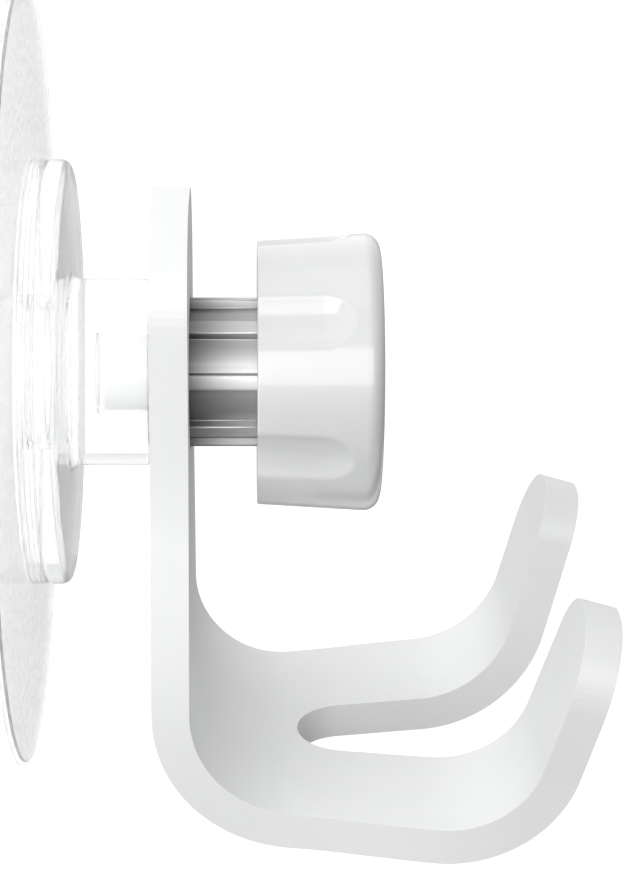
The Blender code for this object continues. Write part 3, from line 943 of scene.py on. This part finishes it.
def slotHalf(along):
    f = bracketForm
    start = sheetMarks()[1] + f["slotSetback"]
    if along <= start:
        return 0.0
    centre = start + f["slotRound"]
    tangent = centre - f["slotRound"] * math.sin(f["slotFlare"])
    if along < tangent:
        return math.sqrt(max(f["slotRound"] ** 2 - (centre - along) ** 2, 0))
    width = f["slotRound"] * math.cos(f["slotFlare"]) + (along - tangent) * math.tan(f["slotFlare"])
    return width + roundedOff(f["tipSlotRound"], sheetMarks()[4] - along)


def sheetRows():
    f = bracketForm
    bendStart, shelfStart, riseStart, prongStart, sheetEnd = sheetMarks()
    slotStart = shelfStart + f["slotSetback"]
    # rows lie closer together round the corners and bends; each run's last number is its count
    quarter = spread(0, math.pi / 2, 20)
    rows = [-f["topLength"] + f["topCorner"] * (1 - math.cos(q)) for q in quarter]
    rows += spread(0, f["widthFrom"] + f["widthEase"], 10)
    rows += spread(f["widthFrom"] + f["widthEase"], bendStart, 12)[1:]
    rows += spread(bendStart, shelfStart, 32)[1:]
    rows += [slotStart + f["slotRound"] * (1 - math.cos(q)) for q in quarter]
    rows += spread(slotStart + f["slotRound"], riseStart, 8)[1:]
    rows += spread(riseStart, prongStart, 28)[1:]
    rows += spread(prongStart, sheetEnd - f["tipOuterRound"], 6)[1:-1]
    rows += [sheetEnd - f["tipOuterRound"] * (1 - math.sin(q)) for q in quarter]
    return rows


def buildBracket():
    f = bracketForm
    low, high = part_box("hook_bracket")
    plateFront = low.x + f["sheet"]
    form = bmesh.new()
    rows = []
    for along in sheetRows():
        x, z = sheetPoint(along)
        rows.append([form.verts.new((x, w, z)) for w in (slotHalf(along), outerHalf(along))])
    for upper, lower in zip(rows, rows[1:]):
        form.faces.new((upper[0], lower[0], lower[1], upper[1]))
    mesh = bpy.data.meshes.new("bracketHook")
    form.to_mesh(mesh)
    form.free()
    blank = bpy.data.objects.new("bracketBlank", mesh)
    blank.location = (plateFront, 0, 0)
    bpy.context.scene.collection.objects.link(blank)
    mirror = blank.modifiers.new("otherHalf", "MIRROR")
    mirror.use_axis = (False, True, False)
    mirror.merge_threshold = 0.00001
    solid = blank.modifiers.new("sheet", "SOLIDIFY")
    solid.thickness = f["sheet"]
    solid.offset = -1
    solid.use_even_offset = True
    reach = f["sheet"] * 2
    front, back = plateFront + reach, plateFront - reach
    outline = [(front, 0), (front, f["hole"]), (back, f["hole"]), (back, 0)]
    drillMesh = turnedMesh("bracketDrill", outline, evenAngles(f["holeSteps"]))
    drill = bpy.data.objects.new("bracketDrill", drillMesh)
    bpy.context.scene.collection.objects.link(drill)
    hole = blank.modifiers.new("hole", "BOOLEAN")
    hole.operation = "DIFFERENCE"
    hole.solver = "EXACT"
    hole.object = drill
    bevel = blank.modifiers.new("edges", "BEVEL")
    bevel.width = f["edgeRound"]
    bevel.segments = f["edgeSegments"]
    bevel.limit_method = "ANGLE"
    bevel.angle_limit = math.radians(50)
    evened = blank.modifiers.new("evenShade", "WEIGHTED_NORMAL")
    evened.keep_sharp = True
    evened.weight = 100
    made = bpy.data.meshes.new_from_object(blank.evaluated_get(bpy.context.evaluated_depsgraph_get()))
    made.name = "bracketHook"
    made.transform(Matrix.Translation((plateFront, 0, 0)))
    bpy.data.objects.remove(blank)
    bpy.data.objects.remove(drill)
    addPiece("bracketHook", made, makeBracketWhite(), "bracket", "hook_bracket")


buildBracket()
print("bracket made")


# floor, light and camera
studioLook = {
    "floorDrop": 0.22,
    "floorReach": 6.0,
    "floorTone": (0.97, 0.97, 0.97),
    "floorLight": (0.98, 0.98, 0.98),
    "worldTone": (1.0, 1.0, 1.0),
    "openSide": 1.05,  # light from the wall's side
    "dimSide": 0.66,  # light from the room in front of the hook
    "nearShare": 1.29,  # that light is scaled by these four: towards the viewer,
    "farShare": 1.3,  # beyond the hook,
    "highShare": 0.84,  # straight above it
    "lowShare": 0.35,  # and below it
    "cardTone": (0.02, 0.02, 0.02, 1),
    "cardAway": 0.20,
    "cardSize": 0.30,
    "keyPlace": (-0.10, -0.21, 0.08),  # from the hook's middle
    "keyPower": 0.10,
    "keySize": 0.14,
    "topPlace": (0.0, 0.05, 0.9),
    "topPower": 0.5,
    "topSize": 0.7,
    "floorGlow": 0.22,
    "stripLow": math.radians(8),  # where the long window of light starts and ends, above level
    "stripHigh": math.radians(38),
    "stripAway": 0.30,
    "stripWide": 0.40,
    "stripGlow": 3.0,
}


def buildFloor():
    mesh = bpy.data.meshes.new("floor")
    form = bmesh.new()
    bmesh.ops.create_grid(form, x_segments=8, y_segments=8, size=studioLook["floorReach"])
    bmesh.ops.translate(form, verts=form.verts, vec=(0, 0, cadBox[0].z - studioLook["floorDrop"]))
    form.to_mesh(mesh)
    form.free()
    finish, shader, place = startFinish("floorPale", {"Roughness": 0.9, "Emission Color": (1, 1, 1, 1),
                                                      "Emission Strength": studioLook["floorGlow"]})
    varyTone(finish, shader, addNoise(finish, place, 3, 2),
             [(0.3, studioLook["floorTone"]), (0.7, studioLook["floorLight"])])
    mesh.materials.append(finish)
    floor = bpy.data.objects.new("floor", mesh)
    bpy.context.scene.collection.objects.link(floor)
    floor.visible_diffuse = False
    floor.visible_glossy = False


def addCard(name, corners, sockets, hiddenFrom):
    # a flat studio card that only some kinds of ray meet
    mesh = bpy.data.meshes.new(name)
    mesh.from_pydata(corners, [], [(0, 1, 2, 3)])
    mesh.materials.append(startFinish(name + "Tone", sockets)[0])
    card = bpy.data.objects.new(name, mesh)
    bpy.context.scene.collection.objects.link(card)
    for rays in hiddenFrom:
        setattr(card, "visible_" + rays, False)


def buildCards():
    middle = (cadBox[0] + cadBox[1]) / 2
    # a dark card in front of the hook shades the faces turned to the room
    half = studioLook["cardSize"] / 2
    ahead = middle.x + studioLook["cardAway"]
    corners = [(ahead, middle.y + side, middle.z + up)
               for side, up in ((-half, -half), (half, -half), (half, half), (-half, half))]
    addCard("sideCard", corners, {"Roughness": 0.8, "Base Color": studioLook["cardTone"]},
            ("camera", "shadow", "glossy", "transmission"))
    # a long bright window shows only as a line along glossy edges
    low, high = studioLook["stripLow"], studioLook["stripHigh"]
    away, half = studioLook["stripAway"], studioLook["stripWide"] / 2
    corners = [(middle.x + side, -away * math.cos(rise), away * math.sin(rise))
               for side, rise in ((-half, low), (half, low), (half, high), (-half, high))]
    addCard("stripCard", corners, {"Base Color": (0, 0, 0, 1), "Emission Color": (1, 1, 1, 1),
                                   "Emission Strength": studioLook["stripGlow"]},
            ("camera", "diffuse", "shadow", "transmission"))


def addSoftLight(name, place, target, power, size):
    light = bpy.data.lights.new(name, "AREA")
    light.energy = power
    light.shape = "DISK"
    light.size = size
    lamp = bpy.data.objects.new(name, light)
    lamp.location = place
    lamp.visible_camera = False
    lamp.rotation_mode = "QUATERNION"
    lamp.rotation_quaternion = (Vector(target) - Vector(place)).to_track_quat("-Z", "Y")
    bpy.context.scene.collection.objects.link(lamp)


def buildLight():
    world = bpy.data.worlds.new("studio")
    world.use_nodes = True
    nodes, links = world.node_tree.nodes, world.node_tree.links
    place = nodes.new("ShaderNodeTexCoord")
    split = nodes.new("ShaderNodeSeparateXYZ")
    links.new(place.outputs["Generated"], split.inputs["Vector"])
    # each row changes the light smoothly between two heights on one axis of the sky's unit ball
    strength = None
    for axis, low, high, start, end in (("X", -0.35, 0.75, studioLook["openSide"], studioLook["dimSide"]),
                                        ("Y", -0.90, -0.10, studioLook["nearShare"], 1.0),
                                        ("Y", 0.10, 0.90, 1.0, studioLook["farShare"]),
                                        ("Z", 0.30, 1.00, 1.0, studioLook["highShare"]),
                                        ("Z", -0.35, 0.30, studioLook["lowShare"], 1.0)):
        shade = nodes.new("ShaderNodeMapRange")
        shade.interpolation_type = "SMOOTHSTEP"
        links.new(split.outputs[axis], shade.inputs["Value"])
        for socket, value in (("From Min", low), ("From Max", high), ("To Min", start), ("To Max", end)):
            shade.inputs[socket].default_value = value
        if strength is None:
            strength = shade.outputs["Result"]
            continue
        total = nodes.new("ShaderNodeMath")
        total.operation = "MULTIPLY"
        links.new(strength, total.inputs[0])
        links.new(shade.outputs["Result"], total.inputs[1])
        strength = total.outputs["Value"]
    # the sky is plain white where it is seen directly
    seen = nodes.new("ShaderNodeLightPath")
    plain = nodes.new("ShaderNodeMix")
    links.new(seen.outputs["Is Camera Ray"], plain.inputs["Factor"])
    links.new(strength, plain.inputs["A"])
    plain.inputs["B"].default_value = 1.0
    back = nodes["Background"]
    back.inputs["Color"].default_value = (*studioLook["worldTone"], 1)
    links.new(plain.outputs["Result"], back.inputs["Strength"])
    bpy.context.scene.world = world
    middle = (cadBox[0] + cadBox[1]) / 2
    addSoftLight("keyLight", middle + Vector(studioLook["keyPlace"]), middle, studioLook["keyPower"],
                 studioLook["keySize"])
    addSoftLight("topLight", middle + Vector(studioLook["topPlace"]), middle, studioLook["topPower"],
                 studioLook["topSize"])


cameraForm = {
    "turn": math.radians(-1.8),
    "rise": math.radians(20),
    "roll": math.radians(0.6),
    "distance": 0.2565,
    "lens": 103.45,
    "aimAlong": 0.016929,  # the point on the post's axis that the view is pinned to
    "aimRight": -0.013338,  # where that point stands from the view's middle
    "aimUp": 0.0064638,
}


def buildCamera():
    c = cameraForm
    turn, rise, roll = c["turn"], c["rise"], c["roll"]
    right = Vector((math.cos(turn), math.sin(turn), 0))
    ahead = Vector((-math.sin(turn) * math.cos(rise), math.cos(turn) * math.cos(rise), -math.sin(rise)))
    up = right.cross(ahead)
    rolledRight = right * math.cos(roll) + up * math.sin(roll)
    rolledUp = up * math.cos(roll) - right * math.sin(roll)
    pin = Vector((c["aimAlong"], 0, 0))
    place = pin - rolledRight * c["aimRight"] - rolledUp * c["aimUp"] - ahead * c["distance"]
    lens = bpy.data.cameras.new("viewCamera")
    lens.lens = c["lens"]
    lens.clip_start = 0.01
    camera = bpy.data.objects.new("viewCamera", lens)
    camera.matrix_world = Matrix((
        (rolledRight.x, rolledUp.x, -ahead.x, place.x),
        (rolledRight.y, rolledUp.y, -ahead.y, place.y),
        (rolledRight.z, rolledUp.z, -ahead.z, place.z),
        (0, 0, 0, 1)))
    bpy.context.scene.collection.objects.link(camera)
    bpy.context.scene.camera = camera


buildFloor()
buildLight()
buildCards()
buildCamera()
bpy.context.scene.view_settings.view_transform = "Standard"
print("studio ready")
